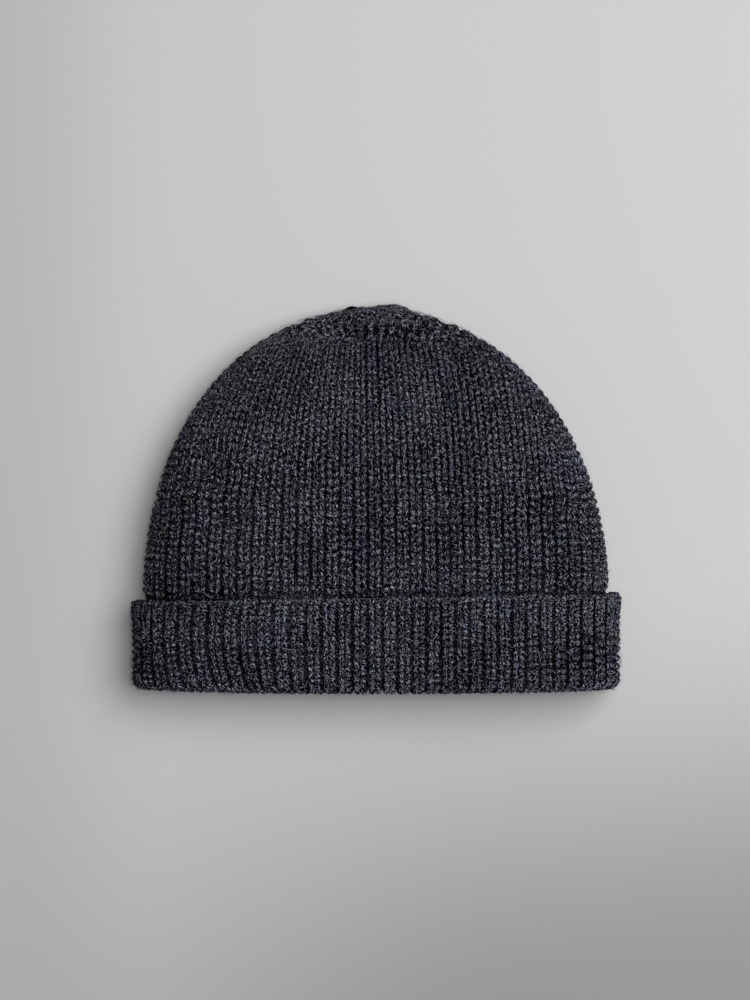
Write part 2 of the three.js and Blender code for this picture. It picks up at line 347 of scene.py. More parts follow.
# Their place on the yarn, corner by corner: u is the share of the way along, v of the way round
def tubeUv(rings, sides):
    ring, side = np.meshgrid(np.arange(rings - 1), np.arange(sides), indexing="ij")
    u, nextU = ring / (rings - 1), (ring + 1) / (rings - 1)
    v, nextV = side / sides, side / sides + 1 / sides
    quadUv = np.stack([
        np.stack([u, nextU, nextU, u], axis=-1),
        np.stack([v, v, nextV, nextV], axis=-1),
    ], axis=-1).reshape(-1, 2)
    end = np.repeat([0.0, 1.0], sides)
    v = np.tile(np.arange(sides), 2) / sides
    fanUv = np.stack([
        np.stack([end, end, end], axis=-1),
        np.stack([v + 0.5 / sides, v, v + 1 / sides], axis=-1),
    ], axis=-1).reshape(-1, 2)
    return quadUv, fanUv


# Tubes along many short paths at once. Each place of a path has a ring of points about it,
# radius * (cos a * aside + flat * sin a * upward), so that a tube is wider than it is deep, and each
# end has a pole half a radius further on.
def sweep(centres, outward, radius, sides, flat=0.85):
    count, rings = centres.shape[:2]
    along = unit(np.gradient(centres, axis=1))
    aside = unit(np.cross(along, outward))
    upward = np.cross(aside, along)
    angle = ringAngles(sides)
    offsets = (
        np.cos(angle)[:, None] * aside[:, :, None] + flat * np.sin(angle)[:, None] * upward[:, :, None]
    )
    tube = centres[:, :, None] + radius[:, :, None, None] * offsets
    first = centres[:, 0] - along[:, 0] * radius[:, :1] * 0.5
    last = centres[:, -1] + along[:, -1] * radius[:, -1:] * 0.5
    points = np.concatenate([tube.reshape(count, -1, 3), first[:, None], last[:, None]], axis=1)
    lifted = flat * np.sin(angle) * radius[:, :, None]      # how far each point stands above its path
    lifted = np.hstack([lifted.reshape(count, -1), np.zeros((count, 2))])
    quads, triangles = tubeFaces(rings, sides)
    quadUv, fanUv = tubeUv(rings, sides)
    shift = (np.arange(count) * points.shape[1])[:, None, None]
    return (
        points.reshape(-1, 3),
        (quads[None] + shift).reshape(-1, 4),
        (triangles[None] + shift).reshape(-1, 3),
        np.concatenate([np.tile(quadUv, (count, 1)), np.tile(fanUv, (count, 1))]),
        lifted,
    )


stitch = dict(
    crownPitch=3.75 * mm,      # from row to row
    topPitch=3.4 * mm,         # and at the tip
    topFrom=0.8,               # rows draw together from this share of the way up
    cuffPitch=3.03 * mm,
    yarn=1.45 * mm,            # radius at the fattest part of a leg
    thinEnd=0.45,              # and at its ends, as a share of that
    fullWidth=7 * mm,          # legs have their full size on a rib of this width
    sizes=(0.3, 1.3),          # and no less or more than these shares of it
    narrowest=2.1 * mm,        # no legs on a rib that is narrower
    topGap=0.3 * mm,
    rings=6,
    floor=0.15 * mm,           # yarn is pressed flat at this height
    near=0.10,                 # places of a leg's ends, across the rib from its middle
    far=0.325,
    swing=(-0.15, 1.1),        # it swings out between these shares of its length
    low=-0.04,                 # and along it, in rows
    high=1.04,
    upperNear=0.14,            # and on the upper crown
    upperFar=0.36,
    upperReach=0.08,
    upperFrom=(85 * mm, 115 * mm),
    lowDepth=2.6 * mm,         # how deep a leg's first end, its middle and its last end lie
    midDepth=1.15 * mm,
    highDepth=3.0 * mm,
    ribDrop=1.30 * mm,         # a rib's edges lie deeper than its crest
    upperDrop=0.7 * mm,        # but less so on the upper crown
    upperDropFrom=(45 * mm, 75 * mm),
    gatherDrop=1.4 * mm,       # and deeper still where the ribs are joined in pairs
    gatherFrom=(-6 * mm, 2 * mm),
    seamDrop=2.2 * mm,         # and beside the narrow rib at the front's middle
    seamFrom=(84 * mm, 104 * mm),
    deepest=1.9 * mm,          # but no yarn is lowered by more than this, though the whole drop sets the painted edge shade
    tuck=1.6 * mm,             # the crown sinks this far where it enters the cuff
    tuckTo=(0.5 * mm, 5 * mm),
    tipFrom=(1 * mm, 14 * mm),  # towards the tip the relief grows flat
    tipDepth=0.3,              # down to this share of it
    leastDepth=0.6,            # on narrow ribs it is no flatter than this
    cuffDrop=2.6 * mm,
    cuffBand=3.2 * mm,         # the cuff's ribs flatten out below its finished edge
    bandFade=5 * mm,
    smile=7 * mm,              # rows rise towards the cap's sides
    smileFrom=(0.25, 1.02),    # between these shares of the way up
    wave=0.75 * mm,            # rows waver from rib to rib by sums of sines, each with its half turns
    waves=((16.4, 1.1, 0), (37, -1.7, 2)),  # round the cap, its drift up the cap and its start
    waveHeight=28 * mm,
    jitter=(0.012, 0.025, 0.04 * mm, 0.03),  # random in place, reach, depth and radius
    shadeDepth=3.2 * mm,       # painted shade: yarn this deep is darkest
    valleyFrom=0.66,           # and from this share of a rib's half-width painted shade darkens it to its edge
    edgeShade=2.9 * mm,        # the more so the deeper it lies, fully at this drop
    edgeFrom=4 * mm,           # and less so this close to the top
)


# The legs there are: the rib, row and side of each, with its rib's width, its row's pitch and its
# share of the way round. Rows rise by smile times the square of how far sideways they are, and waver.
def legPlaces(skin, rows, heading, lowest):
    rib, row, side = (values.ravel() for values in np.meshgrid(
        np.arange(ribs["count"]), rows, [-1.0, 1.0], indexing="ij",
    ))
    pitch = np.interp(row, rows[::heading], np.abs(np.gradient(rows))[::heading])
    share, _ = skin.onRib(rib, 0.5, row)
    sideways = np.abs((share * 2 + 0.5) % 1 - 0.5) * 2
    top = skin.along[-1]
    risen = np.sin(np.pi * smooth(row / top, *stitch["smileFrom"]))
    row = row + stitch["smile"] * sideways ** 2 * risen
    height = row / stitch["waveHeight"]
    row = row + stitch["wave"] * sum(
        np.sin(turns * np.pi * share + drift * height + start) for turns, drift, start in stitch["waves"]
    )
    share, width = skin.onRib(rib, 0.5, row)
    kept = (width > stitch["narrowest"]) & (row > lowest) & (row < top - stitch["topGap"])
    return [values[kept][:, None] for values in (rib, row, side, width, pitch, share)]


# Small random differences from path to path, in four ways
def unlike(count, sizes):
    return rng.normal(0, 1, (4, count, 1)) * np.array(sizes)[:, None, None]


# Legs of V stitches. A leg starts near its rib's middle and swings out to the rib's edge over a little
# more than a row. It is deepest at its ends and rises between them by a half sine, and it lies deeper
# by the drop times the square of how far out on the rib it is. The last three arrays say how far out
# it is, how far its sides reach and how much painted shade the rib's edge gives it.
def stitchLegs(skin, rows, heading, lowest, drops, bend=None):
    rib, row, side, width, pitch, share = legPlaces(skin, rows, heading, lowest)
    count, top = len(rib), skin.along[-1]
    t = np.linspace(0, 1, stitch["rings"])[None]
    arch = np.sin(np.pi * t)
    jitter = unlike(count, stitch["jitter"])
    upper = smooth(row, *stitch["upperFrom"])
    near = stitch["near"] + (stitch["upperNear"] - stitch["near"]) * upper
    far = stitch["far"] + (stitch["upperFar"] - stitch["far"]) * upper
    across = 0.5 + side * (near + (far - near) * smooth(t, *stitch["swing"])) + jitter[0]
    reach = stitch["low"] + (stitch["high"] - stitch["low"]) * t
    reach = reach + stitch["upperReach"] * upper * (2 * t - 1) + jitter[1]
    along = np.clip(row + heading * pitch * reach, 0, top)

    ends = stitch["lowDepth"] * (1 - t) + stitch["highDepth"] * t
    depth = ends + (stitch["midDepth"] - ends) * arch
    drop, tuck = drops(rib, across, along, share)
    lowered = np.minimum(drop, stitch["deepest"]) * (2 * np.abs(across - 0.5)) ** 2
    depth = depth + tuck + lowered + jitter[2]
    size = np.clip(width / stitch["fullWidth"], *stitch["sizes"])
    relief = stitch["tipDepth"] + (1 - stitch["tipDepth"]) * smooth(top - along, *stitch["tipFrom"])
    depth = depth * np.clip(size, stitch["leastDepth"], 1) * relief
    radius = stitch["yarn"] * size * (stitch["thinEnd"] + (1 - stitch["thinEnd"]) * arch)
    radius = radius * (1 + jitter[3])

    share, _ = skin.onRib(rib, across, along)
    if bend is not None:
        share = share + bend(share, along)
    centres = skin.at(share, along, -depth)
    # Painted shade: a leg darkens towards the rib's edge by the square of its drop, less so near the top
    deeper = smooth(top - along, 0, stitch["edgeFrom"]) * (drop / stitch["edgeShade"]) ** 2
    edge = (across - 0.5, heading * radius / width, deeper)
    return centres, skin.normalAt(share, along), radius, rng.random(count), depth, *edge


# How much deeper a rib's edges lie than its crest, which also sets their painted shade, and how far both
# have sunk, on the crown
def crownDrops(rib, across, along, share):
    height = along - (cap["cuffHeight"] - cap["foldDepth"])
    gathered = smooth(height - ribs["pairsJoinedAt"], *stitch["gatherFrom"])
    isBeside = (rib == ribs["straight"]) | ((rib == ribs["straight"] + 1) & (across < 0.5))
    isBeside = isBeside | ((rib == ribs["straight"] - 1) & (across > 0.5))
    seam = isBeside * smooth(height, *stitch["seamFrom"])
    drop = np.interp(height, stitch["upperDropFrom"], [stitch["ribDrop"], stitch["upperDrop"]])
    drop = drop + stitch["gatherDrop"] * gathered + stitch["seamDrop"] * seam * (1 - gathered)
    sideways = np.clip(4 * (0.5 - share), -1, 1)
    aboveRim = height - cap["rimSlant"] * sideways
    return drop, stitch["tuck"] * (1 - smooth(aboveRim, *stitch["tuckTo"]))


# How far the cuff's ribs have come up below the flat band at its finished edge, from 0 to 1
def belowBand(skin, along):
    return smooth(skin.along[-1] - along, stitch["cuffBand"], stitch["cuffBand"] + stitch["bandFade"])


# The same on the cuff, where nothing sinks
def cuffDrops(rib, across, along, share):
    return stitch["cuffDrop"] * belowBand(cuff, along), 0


links = dict(
    perRib=3,
    rows=((2.3 * mm, 0.7 * mm, 1.2 * mm), (1.2 * mm, 1.0 * mm, -1.3 * mm)),
    radius=0.95 * mm,
    thinEnd=0.65,
    dip=0.9 * mm,              # a link's ends lie this much deeper
    jitter=(0.10, 0.2 * mm, 0.15 * mm, 0.06),
    shade=0.5,                 # for the painted shade they count as less deep than they are
)


# The cuff's finished edge: slanted links that lie along the rim, and a row behind them that slants
# the other way. A link is straight from above, and dips by a parabola towards its ends.
def edgeLinks(skin, bend):
    t = np.linspace(-1, 1, stitch["rings"])[None]
    count = ribs["count"] * links["perRib"]
    link = np.arange(count)[:, None]
    groups = []
    for fromRim, depth, slant in links["rows"]:
        jitter = unlike(count, links["jitter"])
        share = (link + 0.5 + 0.5 * t + jitter[0]) / count
        along = np.minimum(skin.along[-1] - fromRim + slant * t + jitter[1], skin.along[-1])
        depths = depth + links["dip"] * t * t + jitter[2]
        share = share + bend(share, along)
        centres = skin.at(share, along, -depths)
        radius = links["radius"] * (links["thinEnd"] + (1 - links["thinEnd"]) * np.cos(t * np.pi / 2))
        radius = radius * (1 + jitter[3])
        outward = skin.normalAt(share, along)
        groups.append((centres, outward, radius, rng.random(count), links["shade"] * depths))
    return tuple(np.concatenate(parts) for parts in zip(*groups))


fuzz = dict(
    crownHairs=3000,
    cuffHairs=1800,
    places=4,
    sides=3,
    length=2.4 * mm,
    lengthSpread=0.35,
    radius=0.09 * mm,
    turn=0.9,                  # radians that hairs lie off the way of the ribs
    curl=0.8,
    root=1.0 * mm,             # a hair starts this deep
    lift=0.5 * mm,             # and its middle stands out by about this much
    grey=(0.09, 0.09, 0.105, 1),
)


# Loose fibres: thin curved hairs. A hair turns evenly from end to end, starts inside the knit, and
# comes out of it by three quarters of a half sine.
def hairs(skin, count, lowest, highest):
    t = np.linspace(0, 1, fuzz["places"])[None]
    place, along = rng.random((count, 1)), lowest + (highest - lowest) * rng.random((count, 1))
    heading = rng.normal(0, fuzz["turn"], (count, 1)) + np.pi * (rng.random((count, 1)) < 0.5)
    curl = rng.normal(0, fuzz["curl"], (count, 1))
    length = fuzz["length"] * np.exp(rng.normal(0, fuzz["lengthSpread"], (count, 1)))
    angle = heading + curl * (t - 0.5)
    aside, ahead = length * np.sin(angle) * (t - 0.5), length * np.cos(angle) * (t - 0.5)
    lift = fuzz["lift"] * np.abs(rng.normal(0, 1, (count, 1)))
    depth = fuzz["root"] - (fuzz["root"] + lift) * np.sin(np.pi * t * 0.75)
    share = place + aside / skin.perimeterAt(along)
    alongs = np.clip(along + ahead, 0, skin.along[-1])
    centres = skin.at(share, alongs, -depth)
    radius = np.full((count, fuzz["places"]), fuzz["radius"])
    return centres, skin.normalAt(share, alongs), radius, rng.random(count), 0 * depth


# Sends paths to a joined mesh of yarn. Each point keeps how deep it lies, as "sunk", for its painted
# shade, to which a rib's edge adds more painted shade, and each tube keeps a random tone.
def yarnPiece(name, paths, sides=6):
    centres, outward, radius, tone, depth, *edge = paths
    points, quads, triangles, uv, lifted = sweep(centres, outward, radius, sides)
    points[:, 2] = np.maximum(points[:, 2], stitch["floor"])
    depths = np.hstack([np.repeat(depth, sides, axis=1), depth[:, [0, -1]]])
    sunk = (depths - lifted) / stitch["shadeDepth"]
    if edge:
        # Painted shade from a rib's edge: points near it darken by the edge's shade
        across, sideReach, deeper = edge
        place = across[:, :, None] - sideReach[:, :, None] * np.cos(ringAngles(sides))
        place = np.hstack([place.reshape(len(centres), -1), across[:, [0, -1]]])
        deeper = np.hstack([np.repeat(deeper, sides, axis=1), deeper[:, [0, -1]]])
        sunk = sunk + deeper * smooth(2 * np.abs(place), stitch["valleyFrom"], 1)
    values = {"tone": np.repeat(tone, lifted.shape[1]), "sunk": sunk.ravel()}
    return makeMesh(name, points, quads, triangles, uv, values)


# Quads of a grid that closes round the cap. Rows follow one another, and the last may meet the first.
def gridQuads(rows, columns, closed):
    row, column = np.meshgrid(
        np.arange(rows if closed else rows - 1), np.arange(columns), indexing="ij",
    )
    nextRow, nextColumn = (row + 1) % rows, (column + 1) % columns
    quads = [
        row * columns + column, row * columns + nextColumn,
        nextRow * columns + nextColumn, nextRow * columns + column,
    ]
    return np.stack(quads, axis=-1).reshape(-1, 4)


# How high a place lies across its rib, from 0 in a valley to 1 on a crest: |sin| ** bumpPower
def ribBump(skin, share, along):
    rows = np.clip(np.round(skin.row(along)).astype(int), 0, skin.rows - 1)
    ribEdges = np.arange(ribs["count"] + 1)
    first = skin.bounds[rows, :1]
    wrapped = (share - first) % 1 + first
    across = np.array([np.interp(places, skin.bounds[row], ribEdges) for places, row in zip(wrapped, rows)])
    return np.abs(np.sin(np.pi * across)) ** ribs["bumpPower"]


shell = dict(
    columns=432,
    crownDepth=2.1 * mm,       # the knit's ground lies this deep under the skin
    cuffDepth=2.0 * mm,
    closeFrom=(6 * mm, 14 * mm),  # but meets it at the crown's lower edge
    innerTop=0.86,             # the hollow ends at this share of the way up
    innerDome=4 * mm,
    floor=0.4 * mm,
    innerShade=0.6,            # painted shade: the inside is darker between its ribs
    tipShade=0.25,             # the tip's ground has less painted shade than a valley: shares of the inside's colour
    paintedTopShade=0.7,
)


# The knit's ground under the crown's stitches, closed by poles at the tip and at the hollow's end. Its
# outer side lies at crownDepth and its inner side at the wall's, both with ribs of half their depth.
def crownShell(skin):
    columns = shell["columns"]
    share = np.arange(columns) / columns
    tipRows = np.linspace(0.915, 0.997, 16)
    outerRows = np.concatenate([[0], np.linspace(0.02, 0.9, 44), tipRows])[::-1]
    innerRows = np.linspace(0, shell["innerTop"], 30)
    layers = []
    for rows, depth, isOuter in ((outerRows, shell["crownDepth"], True), (innerRows, cap["wall"], False)):
        along = rows * skin.along[-1]
        shares = np.broadcast_to(share, (len(rows), columns))
        bump = ribBump(skin, shares, along)
        if isOuter:
            out = -depth - 0.5 * ribs["depth"] * (1 - bump)
            out = out * smooth(along, *shell["closeFrom"])[:, None]
        else:
            out = -depth + 0.5 * ribs["depth"] * bump
        layers.append(skin.at(shares, np.broadcast_to(along[:, None], shares.shape), out))
    rows = len(outerRows) + len(innerRows)
    poles = [skin.points[-1].mean(axis=0), layers[1][-1].mean(axis=0) + [0, shell["innerDome"], 0]]
    points = np.concatenate([np.concatenate(layers).reshape(-1, 3), poles])
    points[:, 2] = np.maximum(points[:, 2], shell["floor"])
    column = np.arange(columns)
    after = (column + 1) % columns
    top, bottom, lastRow = rows * columns, rows * columns + 1, (rows - 1) * columns
    triangles = np.concatenate([
        np.stack([np.full(columns, top), after, column], axis=1),
        np.stack([np.full(columns, bottom), lastRow + column, lastRow + after], axis=1),
    ])
    # The ground's tone: 0 takes the painted valley shade and 1 the inside's painted light; the inside
    # darkens between its ribs and the tip is paler
    inside = np.ones(len(points))
    inside[:len(outerRows) * columns] = 0
    inside[len(outerRows) * columns:-len(poles)] = 1 - shell["innerShade"] * bump.ravel()
    inside[:len(tipRows) * columns] = shell["tipShade"]
    inside[:len(tipRows) // 2 * columns] = shell["paintedTopShade"]
    quads = gridQuads(rows, columns, False)
    return makeMesh("crownKnit", points, quads, triangles, values={"inside": inside})


# The ground under the cuff's stitches: its outer side lies at cuffDepth with ribs of half their depth,
# and its inner side is four rows round, just clear of the crown
def cuffShell(skin, bend):
    columns, outerCount = shell["columns"], 60
    shares = np.broadcast_to(np.arange(columns) / columns, (outerCount, columns))
    along = np.linspace(0, 1, outerCount) * skin.along[-1]
    alongs = np.broadcast_to(along[:, None], shares.shape)
    bump = ribBump(skin, shares - bend(shares, alongs), along)
    depth = shell["cuffDepth"] + 0.5 * ribs["depth"] * (1 - bump) * belowBand(skin, alongs)
    outer = skin.at(shares, alongs, -depth)
    x, z, _ = ovalRows(**crownOvals(np.zeros(1), np.array([cap["layerGap"]])), columns=columns)
    innerRows = ((-1, -1.6), (-1, -8), (0, 30), (0, 6))    # millimetres up from outer rows
    inner = [np.stack([x[0], outer[row, :, 1] + up * mm, z[0]], axis=-1) for row, up in innerRows]
    points = np.concatenate([outer, inner]).reshape(-1, 3)
    points[:, 2] = np.maximum(points[:, 2], shell["floor"])
    quads = gridQuads(outerCount + len(inner), columns, True)[:, ::-1]
    # The cuff's ground takes the painted valley shade all over
    return makeMesh("cuffKnit", points, quads, values={"inside": np.zeros(len(points))})


bow = dict(
    middle=-80 * mm,           # ribs here
    reach=48 * mm,             # and this far to each side bow sideways
    atFold=4 * mm,             # by atFold + slope * rise + curve * rise ** 2, up the cuff
    slope=-21.4 * mm,
    curve=17.4 * mm,
    frontFrom=(20 * mm, 30 * mm),  # on the front alone, which lies above these levels
)


# Ribs of one part of the cuff bow sideways: a quadratic up the cuff, faded by a bell across it
def cuffBend(skin):
    def bend(share, along):
        place = skin.read(skin.points, share, along)
        rise = np.clip((place[..., 1] - foldY) / cap["cuffHeight"], 0, 1)
        amount = bow["atFold"] + bow["slope"] * rise + bow["curve"] * rise * rise
        near = np.exp(-2 * ((place[..., 0] - bow["middle"]) / bow["reach"]) ** 2)
        isFront = smooth(place[..., 2], *bow["frontFrom"])
        return -amount * near * isFront / skin.perimeter.max()
    return bend


# Wraps a number socket, so that sums on it add Math nodes
class Value:
    def __init__(self, finish, socket):
        self.finish, self.socket = finish, socket

    def maths(self, operation, first, second=0.0):
        return self.finish.value("ShaderNodeMath", {"operation": operation}, {0: first, 1: second})

    def __add__(self, other):
        return self.maths("ADD", self, other)

    def __sub__(self, other):
        return self.maths("SUBTRACT", self, other)

    def __rsub__(self, other):
        return self.maths("SUBTRACT", other, self)

    def __mul__(self, other):
        return self.maths("MULTIPLY", self, other)

    def __pow__(self, other):
        return self.maths("POWER", self, other)

    def __abs__(self):
        return self.maths("ABSOLUTE", self)

    def sine(self):
        return self.maths("SINE", self)

    __radd__ = __add__
    __rmul__ = __mul__


# A material and its nodes
class Finish:
    def __init__(self, name):
        self.material = bpy.data.materials.new(name)
        self.material.use_nodes = True
        self.nodes, self.links = self.material.node_tree.nodes, self.material.node_tree.links
        self.shader = self.nodes["Principled BSDF"]

    def node(self, kind, settings=None, inputs=None):
        made = self.nodes.new(kind)
        for key, value in (settings or {}).items():
            if key == "stops":
                ramp = made.color_ramp.elements
                while len(ramp) < len(value):
                    ramp.new(0.5)
                for element, (place, colour) in zip(ramp, value):
                    element.position, element.color = place, colour
            else:
                setattr(made, key, value)
        for key, value in (inputs or {}).items():
            self.feed(made.inputs[key], value)
        return made

    def feed(self, socket, value):
        value = value.socket if isinstance(value, Value) else value
        if isinstance(value, bpy.types.NodeSocket):
            self.links.new(value, socket)
        else:
            socket.default_value = value

    def value(self, kind, settings=None, inputs=None, output=0):
        return Value(self, self.node(kind, settings, inputs).outputs[output])

    def attribute(self, name):
        return self.value("ShaderNodeAttribute", {"attribute_name": name}, None, 2)

    def parts(self, vector):
        split = self.node("ShaderNodeSeparateXYZ", None, {0: vector})
        return [Value(self, socket) for socket in split.outputs]

    def vector(self, x, y, z=0.0):
        return self.node("ShaderNodeCombineXYZ", None, {0: x, 1: y, 2: z}).outputs[0]

    def noise(self, at, scale, detail, roughness, dimensions="3D"):
        inputs = {"Vector": at, "Scale": scale, "Detail": detail, "Roughness": roughness}
        return self.value("ShaderNodeTexNoise", {"noise_dimensions": dimensions}, inputs)

    # From the first result at the first end to the second at the second, and level past them
    def fade(self, value, ends, results=(0.0, 1.0), kind="SMOOTHSTEP"):
        inputs = {0: value, 1: ends[0], 2: ends[1], 3: results[0], 4: results[1]}
        return self.value("ShaderNodeMapRange", {"interpolation_type": kind}, inputs)

    def colour(self, amount, first, second, blend="MIX"):
        settings = {"data_type": "RGBA", "blend_type": blend}
        return self.node("ShaderNodeMix", settings, {0: amount, 6: first, 7: second}).outputs[2]


wool = dict(
    dark=(0.0005, 0.0005, 0.0009, 1),
    grey=(0.0088, 0.0088, 0.0136, 1),
    pale=(0.377, 0.377, 0.455, 1),
    stops=(0.511, 0.553, 0.598),  # where the dark, grey and pale fibres lie in the mix
    valley=(0.0018, 0.0018, 0.0027, 1),  # painted shade: the ground between the stitches, nearly black
    valleyShare=0.85,
    # painted light: the hollow's inside is paler than the yarn
    inside=(0.23, 0.23, 0.268, 1),
    insideSpecks=4.0,
    blue=(0.93, 0.95, 1.16, 1),  # the knit is tinted bluer in some patches
    blueScale=50.0,
    blueFrom=(0.50, 0.70),
    warmTint=(1.05, 0.985, 0.97, 1),  # and warmer or cooler from place to place
    coolTint=(0.96, 1.015, 1.02, 1),
    warmScale=75.0,
    warmFrom=(0.35, 0.65),
    streaks=0.28,              # weights in the mix: streaks along the yarn, specks and
    specks=0.84,               # thin curved fibres
    fibres=0.13,
    fibreMean=0.4,
    streakLength=3.2,          # a streak noise's steps along the yarn and round it, its twist,
    streakCount=15.0,
    streakTwist=-5.5,
    streakShift=(170.0, 290.0),  # and how far it is moved from one leg to another
    speckLength=5.5,
    speckCount=13.0,
    speckTwist=-4.0,
    speckSlant=-2.5,
    speckShift=(310.0, 130.0),
    plies=7.0,                 # half turns of the plies round the yarn, along it and between legs
    plyTwist=2.2,
    plyShift=7.0,
    plyWaver=2.0,
    # painted shade: the creases between plies are a little darker
    plyShade=0.03,
    plyMean=0.64,
    lean=(0.92, 0.92, 0),      # specks and fibres are drawn out from upper left to lower right
    drawn=(0.52, -0.52, 0),
    speckScale=1350.0,
    fibreScale=1000.0,
    fibreSharpness=8.0,
    paintedLeftShade=0.27,            # painted shade: the knit is darker towards its left side and its top
    leftFrom=(-0.02, -0.12),
    paintedTopShade=0.20,
    topFrom=(0.02, 0.085),
    clouds=1.0,                # how far the tone changes from place to place
    cloudScale=32.0,
    sunkFrom=0.30,             # painted shade: yarn darkens from this share of the shade depth
    sunkShade=0.93,            # to this much darker at its whole
    endPower=2.5,              # and towards a leg's ends by this power of the way along it
    bump=0.5,
    bumpDepth=0.6 * mm,
    fibreRelief=0.8,
    plyRelief=0.45,
)


# The yarn's fibres, on its UV: twisted streaks and specks, unlike from leg to leg, with thin fibres where a
# noise passes through its middle, and the plies, |sin| of a twisted turn, with painted shade in their
# creases
def yarnFibres(finish, grain, along, around):
    tone = finish.attribute("tone")
    streakAt = finish.vector(
        along * wool["streakLength"] + tone * wool["streakShift"][0],
        around * wool["streakCount"] + along * wool["streakTwist"] + tone * wool["streakShift"][1],
    )
    streak = finish.noise(streakAt, 1.0, 1.5, 0.7, "2D")
    speckAt = finish.vector(
        along * wool["speckLength"] + around * wool["speckSlant"] + tone * wool["speckShift"][0],
        around * wool["speckCount"] + along * wool["speckTwist"] + tone * wool["speckShift"][1],
    )
    speck = finish.noise(speckAt, 1.0, 1.5, 0.7, "2D")
    fromLine = abs(finish.noise(grain, wool["fibreScale"], 1.0, 0.5) - 0.5)
    fibre = 1.0 - wool["fibreSharpness"] * fromLine
    turn = around * wool["plies"] + along * wool["plyTwist"] + tone * wool["plyShift"]
    ply = abs(((turn + streak * wool["plyWaver"]) * np.pi).sine())
    fibres = (streak - 0.5) * wool["streaks"] + (speck - 0.5) * wool["specks"] + 0.5
    fibres = fibres + (fibre - wool["fibreMean"]) * wool["fibres"]
    fibres = fibres + (ply - wool["plyMean"]) * wool["plyShade"]
    return fibres, fibres * wool["fibreRelief"] + ply * wool["plyRelief"]


# Painted shade on the yarn: darker the deeper it lies, and darker towards a leg's ends
def paintedYarnShade(finish, along, lowShade, highShade):
    deep = finish.fade(finish.attribute("sunk"), (wool["sunkFrom"], 1.0))
    low, high = (1.0 - along) ** wool["endPower"], along ** wool["endPower"]
    return (1.0 - wool["sunkShade"] * deep) * (1.0 - lowShade * low - highShade * high)


# Colour of the heathered wool: from dark through grey to pale by its fibres, bluer in soft patches,
# and a little warmer or cooler from place to place
def heather(finish, place, fibres):
    stops = list(zip(wool["stops"], (wool["dark"], wool["grey"], wool["pale"])))
    mix = finish.node("ShaderNodeValToRGB", {"stops": stops}, {0: fibres}).outputs[0]
    patch = finish.noise(place, wool["blueScale"], 3.0, 0.6)
    bluer = finish.colour(finish.fade(patch, wool["blueFrom"], kind="LINEAR"), (1, 1, 1, 1), wool["blue"])
    warmth = finish.noise(place, wool["warmScale"], 2.0, 0.5)
    warmth = finish.fade(warmth, wool["warmFrom"], kind="LINEAR")
    tint = finish.colour(warmth, wool["coolTint"], wool["warmTint"])
    return finish.colour(1.0, finish.colour(1.0, mix, bluer, "MULTIPLY"), tint, "MULTIPLY")


# Wool for the yarn, or for the ground under it. A leg's low and high ends are darker by their painted
# shades.
def woolFinish(name, isYarn, lowShade=0, highShade=0):
    finish = Finish(name)
    place = finish.node("ShaderNodeTexCoord").outputs["Object"]
    x, y, z = finish.parts(place)
    leaning, drawn = (
        finish.value("ShaderNodeVectorMath", {"operation": "DOT_PRODUCT"}, {0: place, 1: wool[way]}, 1)
        for way in ("lean", "drawn")
    )
    grain = finish.vector(leaning, drawn, z)
    cloud = finish.noise(place, wool["cloudScale"], 1.0, 0.5)
    if isYarn:
        along, around, _ = finish.parts(finish.node("ShaderNodeUVMap", {"uv_map": "yarn"}).outputs[0])
        fibres, height = yarnFibres(finish, grain, along, around)
        colour = heather(finish, place, fibres)
        level = 1.0 + wool["clouds"] * (cloud - 0.5)
        # Painted shade towards the knit's left side and its top
        level = level * finish.fade(x, wool["leftFrom"], (1.0, 1.0 - wool["paintedLeftShade"]))
        level = level * finish.fade(y, wool["topFrom"], (1.0, 1.0 - wool["paintedTopShade"]))
        # Painted shade: darker the deeper the yarn lies and towards a leg's ends
        shade = paintedYarnShade(finish, along, lowShade, highShade)
        colour = finish.colour(1.0, colour, shade * level, "MULTIPLY")
    else:
        speck = finish.noise(grain, wool["speckScale"], 1.5, 0.7)
        height = speck * 0.8 + cloud * 0.2
        # The ground's outer side is mostly the painted valley shade, its inner side the inside's painted
        # light
        outer = finish.colour(wool["valleyShare"], heather(finish, place, height), wool["valley"])
        specks = (speck - 0.5) * wool["insideSpecks"] + 1.0
        inner = finish.colour(1.0, wool["inside"], specks, "MULTIPLY")
        colour = finish.colour(finish.attribute("inside"), outer, inner)
    finish.feed(finish.shader.inputs["Base Color"], colour)
    inputs = {"Strength": wool["bump"], "Distance": wool["bumpDepth"], "Height": height}
    finish.feed(finish.shader.inputs["Normal"], finish.node("ShaderNodeBump", None, inputs).outputs[0])
    finish.shader.inputs["Roughness"].default_value = 1.0
    finish.shader.inputs["Specular IOR Level"].default_value = 0.0
    return finish.material


def fuzzFinish():
    finish = Finish("fuzzWool")
    stops = [(0.1, wool["grey"]), (0.6, fuzz["grey"]), (1.0, wool["pale"])]
    mix = finish.node("ShaderNodeValToRGB", {"stops": stops}, {0: finish.attribute("tone")})
    finish.feed(finish.shader.inputs["Base Color"], mix.outputs[0])
    finish.shader.inputs["Roughness"].default_value = 0.8
    return finish.material


# Gives a piece its material and its place in the frame. The two shells stand for the frame's solids.
def dress(piece, material, replaced=None):
    piece.data.materials.append(material)
    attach(piece, "root")
    if replaced:
        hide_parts(replaced)


# Stitches in two pieces: the legs whose middles lie above a level, and the others
def dressStitches(name, legs, level, material):
    isFront = legs[0][:, :, 2].mean(axis=1) > level
    for side, chosen in (("Front", isFront), ("Back", ~isFront)):
        dress(yarnPiece(name + side, [part[chosen] for part in legs]), material)


